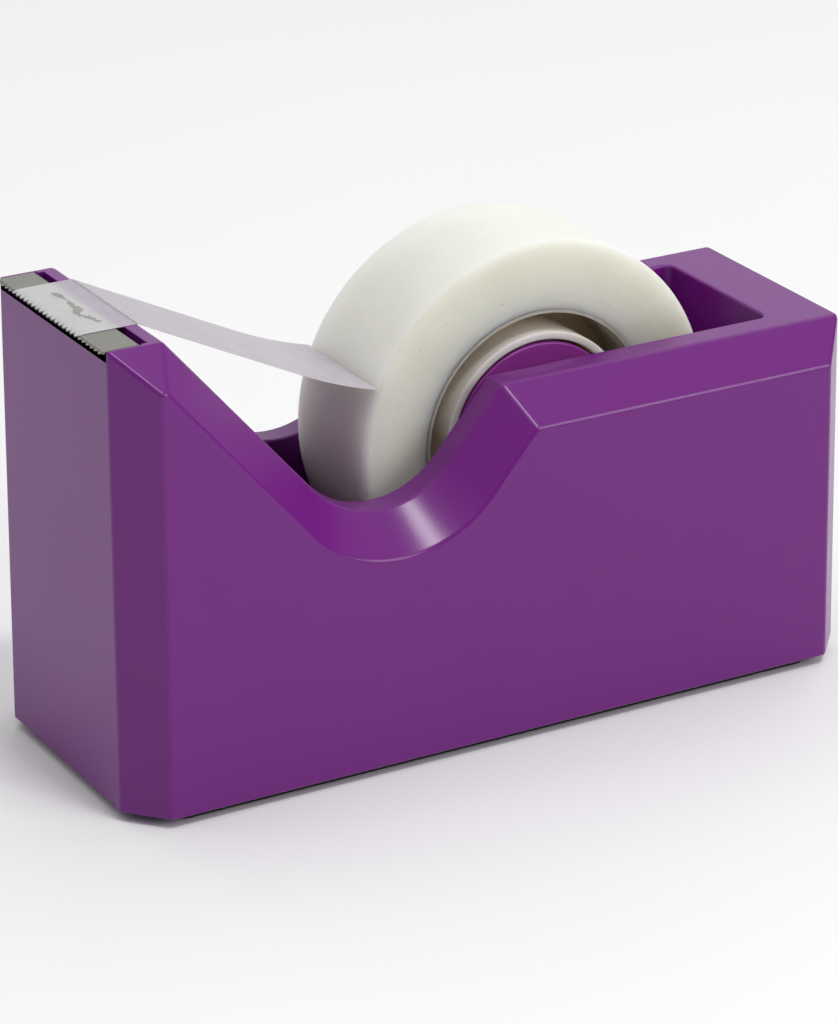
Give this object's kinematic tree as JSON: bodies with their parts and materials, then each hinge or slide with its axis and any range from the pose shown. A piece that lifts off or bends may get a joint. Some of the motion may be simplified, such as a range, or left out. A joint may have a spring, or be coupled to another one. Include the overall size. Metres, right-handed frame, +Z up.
{
  "type": "desk tape dispenser",
  "caption": "Weighted desk tape dispenser: chamfered body with a toothed cutter on its front post and a well whose lift-out hub and axle carry a free-turning tape roll.",
  "frame": {"origin": "on the desk, at the middle of the footprint", "axes": "+X from the cutter to the back, +Y to the left of a person who faces the cutter, +Z up"},
  "size_m": [0.1094, 0.0432, 0.0638],
  "materials": {
    "body_plastic": "satin purple moulding",
    "base_plastic": "black moulding",
    "pad_foam": "fine-celled black foam",
    "screw_steel": "zinc plated",
    "ballast_iron": "as cast",
    "ballast_steel": "mill finish",
    "cutter_steel": "satin",
    "axle_steel": "drawn",
    "collar_plastic": "natural nylon",
    "hub_plastic": "satin purple moulding",
    "core_plastic": "natural plastic",
    "wound_tape": "frosted, translucent",
    "loose_tape": "frosted film"
  },
  "bodies": {
    "housing": {"housing_shell": "body_plastic", "base_plate": "base_plastic", "non_slip_pad": "pad_foam", "base_screws": "screw_steel", "ballast_screws": "screw_steel", "ballast_block": "ballast_iron", "ballast_plate": "ballast_steel", "cutter_blade": "cutter_steel"},
    "axle": {"axle_rod": "axle_steel", "axle_collars": "collar_plastic", "tape_strip": "loose_tape"},
    "roll": {"hub_drum": "hub_plastic", "hub_cap": "hub_plastic", "tape_core": "core_plastic", "tape_winding": "wound_tape"}
  },
  "joints": [
    {"name": "hub_lift", "type": "slide", "parent": "housing", "child": "axle", "axis": [0, 0, 1], "range_m": [0, 0.045]},
    {"name": "roll_spin", "type": "hinge", "parent": "axle", "child": "roll", "pos_m": [0.0116, 0, 0.0376], "axis": [0, 1, 0], "continuous": true}
  ]
}
